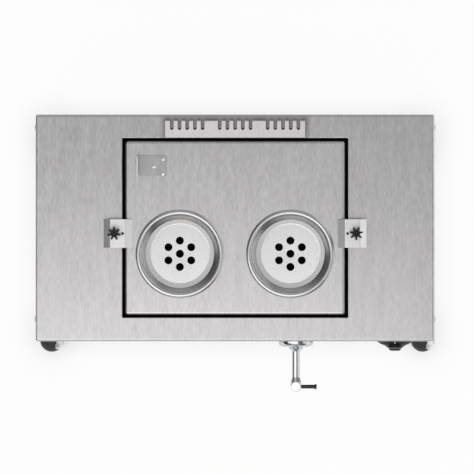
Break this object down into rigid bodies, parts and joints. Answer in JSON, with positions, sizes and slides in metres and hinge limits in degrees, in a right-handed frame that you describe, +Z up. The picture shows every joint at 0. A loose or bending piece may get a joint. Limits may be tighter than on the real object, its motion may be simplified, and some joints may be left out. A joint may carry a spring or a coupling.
{
  "type": "tea brewing machine",
  "caption": "Stainless gas tea boiler on ball casters: clamped lift-off lid with perforated teapot seats over a water tank, slotted flue cowl, plug tap and gas knob.",
  "frame": {"origin": "on the floor, under the middle of the machine's outline, tap included", "axes": "+X along the long side, to the right as the user stands at the tap; +Y to the rear; +Z up"},
  "size_m": [0.7051, 0.488, 0.4968],
  "materials": {
    "casing_steel": "brushed front to back",
    "clamp_steel": "satin, bent",
    "seat_steel": "spun and polished",
    "tank_steel": "mill finish",
    "frame_steel": "grey primer",
    "fastener_steel": "bright plated",
    "tap_chrome": "polished chrome",
    "black_plastic": "moulded, fine satin",
    "seal_rubber": "matt",
    "valve_brass": "machined",
    "pipe_copper": "drawn copper",
    "pipe_steel": "galvanised",
    "burner_iron": "heat darkened",
    "caster_hood_plate": "bright plated die casting",
    "caster_wheel_plastic": "dark moulded nylon"
  },
  "bodies": {
    "casing": {"deck_panel": "casing_steel", "left_side_panel": "casing_steel", "right_side_panel": "casing_steel", "front_panel": "casing_steel", "rear_panel": "casing_steel", "base_plate": "casing_steel", "flue_cowl": "casing_steel", "water_tank": "tank_steel", "flue_duct": "tank_steel", "burner_tray": "tank_steel", "chassis_frame": "frame_steel", "deck_screws": "fastener_steel", "panel_screws": "fastener_steel", "clamp_rivet_nuts": "fastener_steel", "caster_sockets": "fastener_steel", "tap_rosette": "tap_chrome", "tap_body": "tap_chrome", "lid_seal": "seal_rubber", "tap_seal_washer": "seal_rubber", "gas_valve_body": "valve_brass", "gas_valve_nut": "valve_brass", "burner_injector": "valve_brass", "tap_lock_nut": "valve_brass", "burner_feed_pipe": "pipe_copper", "thermocouple": "pipe_copper", "gas_inlet_pipe": "pipe_steel", "burner": "burner_iron"},
    "lid": {"lid_panel": "casing_steel", "left_teapot_seat": "seat_steel", "right_teapot_seat": "seat_steel", "lid_bracket": "casing_steel", "lid_bracket_rivets": "fastener_steel"},
    "tap_handle": {"tap_plug": "tap_chrome", "tap_lever": "tap_chrome", "tap_grip": "black_plastic"},
    "gas_push": {"valve_push_pin": "fastener_steel"},
    "gas_knob": {"control_knob": "black_plastic", "valve_stem": "fastener_steel"},
    "left_clamp": {"left_clamp_bridge": "clamp_steel"},
    "left_washer": {"left_knob_washer": "fastener_steel"},
    "left_knob": {"left_star_knob": "black_plastic", "left_knob_stud": "fastener_steel"},
    "right_clamp": {"right_clamp_bridge": "clamp_steel"},
    "right_washer": {"right_knob_washer": "fastener_steel"},
    "right_knob": {"right_star_knob": "black_plastic", "right_knob_stud": "fastener_steel"},
    "front_left_caster": {"front_left_caster_hood": "caster_hood_plate", "front_left_caster_stem": "fastener_steel"},
    "front_left_wheel": {"front_left_caster_wheel": "caster_wheel_plastic"},
    "front_right_caster": {"front_right_caster_hood": "caster_hood_plate", "front_right_caster_stem": "fastener_steel"},
    "front_right_wheel": {"front_right_caster_wheel": "caster_wheel_plastic"},
    "rear_left_caster": {"rear_left_caster_hood": "caster_hood_plate", "rear_left_caster_stem": "fastener_steel"},
    "rear_left_wheel": {"rear_left_caster_wheel": "caster_wheel_plastic"},
    "rear_right_caster": {"rear_right_caster_hood": "caster_hood_plate", "rear_right_caster_stem": "fastener_steel"},
    "rear_right_wheel": {"rear_right_caster_wheel": "caster_wheel_plastic"}
  },
  "joints": [
    {"name": "lid_lift", "type": "slide", "parent": "casing", "child": "lid", "axis": [0, 0, 1], "range_m": [0, 0.25]},
    {"name": "tap_turn", "type": "hinge", "parent": "casing", "child": "tap_handle", "pos_m": [0.1072, -0.235, 0.24], "axis": [0, 0, 1], "range_deg": [-90, 0]},
    {"name": "gas_knob_push", "type": "slide", "parent": "casing", "child": "gas_push", "axis": [0, 1, 0], "range_m": [0, 0.003], "stiffness_N_per_m": 900, "springref_m": -0.003},
    {"name": "gas_knob_turn", "type": "hinge", "parent": "gas_push", "child": "gas_knob", "pos_m": [0.2825, -0.154, 0.15], "axis": [0, -1, 0], "range_deg": [0, 210]},
    {"name": "left_clamp_swing", "type": "hinge", "parent": "lid", "child": "left_clamp", "pos_m": [-0.2123, 0.035, 0.48], "axis": [0, 0, 1], "range_deg": [0, 180]},
    {"name": "left_knob_rise", "type": "slide", "parent": "lid", "child": "left_washer", "axis": [0, 0, 1], "range_m": [0, 0.003]},
    {"name": "left_knob_turn", "type": "hinge", "parent": "left_washer", "child": "left_knob", "pos_m": [-0.2123, 0.035, 0.48], "axis": [0, 0, 1], "range_deg": [0, 1081]},
    {"name": "right_clamp_swing", "type": "hinge", "parent": "lid", "child": "right_clamp", "pos_m": [0.2123, 0.035, 0.48], "axis": [0, 0, 1], "range_deg": [-180, 0]},
    {"name": "right_knob_rise", "type": "slide", "parent": "lid", "child": "right_washer", "axis": [0, 0, 1], "range_m": [0, 0.003]},
    {"name": "right_knob_turn", "type": "hinge", "parent": "right_washer", "child": "right_knob", "pos_m": [0.2123, 0.035, 0.48], "axis": [0, 0, 1], "range_deg": [0, 1081]},
    {"name": "front_left_swivel", "type": "hinge", "parent": "casing", "child": "front_left_caster", "pos_m": [-0.329, -0.1351, 0.06], "axis": [0, 0, 1], "continuous": true},
    {"name": "front_left_roll", "type": "hinge", "parent": "front_left_caster", "child": "front_left_wheel", "pos_m": [-0.32537, -0.15375, 0.021], "axis": [0.6118, -0.461, 0.6428], "continuous": true},
    {"name": "front_right_swivel", "type": "hinge", "parent": "casing", "child": "front_right_caster", "pos_m": [0.329, -0.1351, 0.06], "axis": [0, 0, 1], "continuous": true},
    {"name": "front_right_roll", "type": "hinge", "parent": "front_right_caster", "child": "front_right_wheel", "pos_m": [0.33263, -0.15375, 0.021], "axis": [0.6118, -0.461, 0.6428], "continuous": true},
    {"name": "rear_left_swivel", "type": "hinge", "parent": "casing", "child": "rear_left_caster", "pos_m": [-0.329, 0.2251, 0.06], "axis": [0, 0, 1], "continuous": true},
    {"name": "rear_left_roll", "type": "hinge", "parent": "rear_left_caster", "child": "rear_left_wheel", "pos_m": [-0.32537, 0.20645, 0.021], "axis": [0.6118, -0.461, 0.6428], "continuous": true},
    {"name": "rear_right_swivel", "type": "hinge", "parent": "casing", "child": "rear_right_caster", "pos_m": [0.329, 0.2251, 0.06], "axis": [0, 0, 1], "continuous": true},
    {"name": "rear_right_roll", "type": "hinge", "parent": "rear_right_caster", "child": "rear_right_wheel", "pos_m": [0.33263, 0.20645, 0.021], "axis": [0.6118, -0.461, 0.6428], "continuous": true}
  ],
  "couplings": [
    {"joint": "left_knob_turn", "follows": "left_knob_rise", "rad_per_m": 6283.2},
    {"joint": "right_knob_turn", "follows": "right_knob_rise", "rad_per_m": 6283.2}
  ]
}
